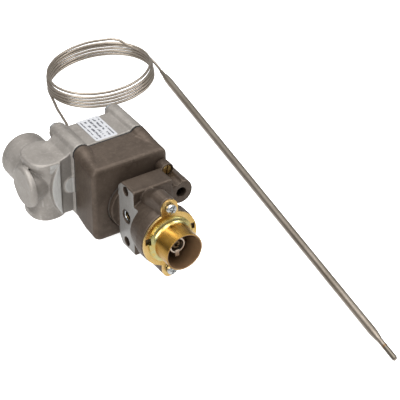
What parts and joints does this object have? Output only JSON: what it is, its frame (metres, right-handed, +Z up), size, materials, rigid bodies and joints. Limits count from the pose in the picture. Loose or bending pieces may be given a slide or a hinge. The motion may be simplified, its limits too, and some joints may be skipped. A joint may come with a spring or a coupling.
{
  "type": "gas thermostat valve",
  "caption": "Bulb-and-capillary gas thermostat valve: flanged inlet body with a dial collar and hollow stem, two-part cast housing, outlet elbow, coiled capillary and long thin sensing bulb.",
  "frame": {"origin": "middle of the valve body's box on X and Y, on the surface that the bottom ear, the coil and the bulb lie on", "axes": "-Y towards the user along the dial axis, +X to the user's right as they face the dial, +Z up"},
  "size_m": [0.1635, 0.3701, 0.0582],
  "materials": {
    "cast_brown": "die cast, brown chromate finish, matt",
    "cast_silver": "die cast, bare, satin",
    "gold_plate": "zinc plated steel with yellow chromate, glossy",
    "stem_steel": "turned and plated, satin",
    "screw_zinc": "bright zinc plated",
    "dark_steel": "hardened, dark",
    "spring_steel": "drawn spring wire",
    "brass": "turned, slightly tarnished",
    "capillary_steel": "drawn stainless tube, warm satin",
    "rubber": "matt"
  },
  "bodies": {
    "valve_body": {"bulb_lead": "capillary_steel", "capillary_coil": "capillary_steel", "capillary_gland": "brass", "collar_screw_bottom": "screw_zinc", "collar_screw_top": "screw_zinc", "dial_collar": "gold_plate", "element_clamp": "dark_steel", "front_body": "cast_brown", "front_gasket": "rubber", "housing_gasket": "rubber", "housing_screw_1": "screw_zinc", "housing_screw_2": "screw_zinc", "housing_screw_3": "screw_zinc", "housing_screw_4": "screw_zinc", "main_housing": "cast_brown", "power_element": "capillary_steel", "rear_housing": "cast_silver", "sensing_bulb": "capillary_steel", "stem_retainer": "dark_steel", "stem_spring": "dark_steel", "valve_lead": "capillary_steel", "valve_seat": "brass", "valve_spring": "spring_steel"},
    "stem": {"dial_stem": "stem_steel", "stem_seal": "rubber"},
    "calibration": {"calibration_screw": "brass"},
    "spindle": {"set_point_spindle": "brass"},
    "bypass": {"bypass_screw": "brass"},
    "disc": {"valve_disc": "dark_steel", "push_rod": "stem_steel"},
    "button": {"element_button": "brass"}
  },
  "joints": [
    {"name": "dial_turn", "type": "hinge", "parent": "valve_body", "child": "stem", "pos_m": [0.01055, -0.0544, 0.0259], "axis": [0, -1, 0], "range_deg": [0, 280]},
    {"name": "calibration_turn", "type": "hinge", "parent": "stem", "child": "calibration", "pos_m": [0.01055, -0.0515, 0.0259], "axis": [0, -1, 0], "range_deg": [-90, 90]},
    {"name": "set_point_travel", "type": "slide", "parent": "valve_body", "child": "spindle", "axis": [0, 1, 0], "range_m": [0, 0.0012]},
    {"name": "bypass_turn", "type": "hinge", "parent": "valve_body", "child": "bypass", "pos_m": [0.03055, -0.0115, 0.0443], "axis": [0, -1, 0], "range_deg": [-360, 360]},
    {"name": "valve_travel", "type": "slide", "parent": "valve_body", "child": "disc", "axis": [0, -1, 0], "range_m": [0, 0.0015], "stiffness_N_per_m": 200, "springref_m": -0.004, "deforming": ["valve_spring"]},
    {"name": "button_travel", "type": "slide", "parent": "valve_body", "child": "button", "axis": [0, -1, 0], "range_m": [0, 0.0015]}
  ],
  "couplings": [
    {"joint": "set_point_travel", "follows": "dial_turn", "m_per_rad": 0.00023873},
    {"joint": "button_travel", "follows": "valve_travel", "ratio": 1}
  ]
}
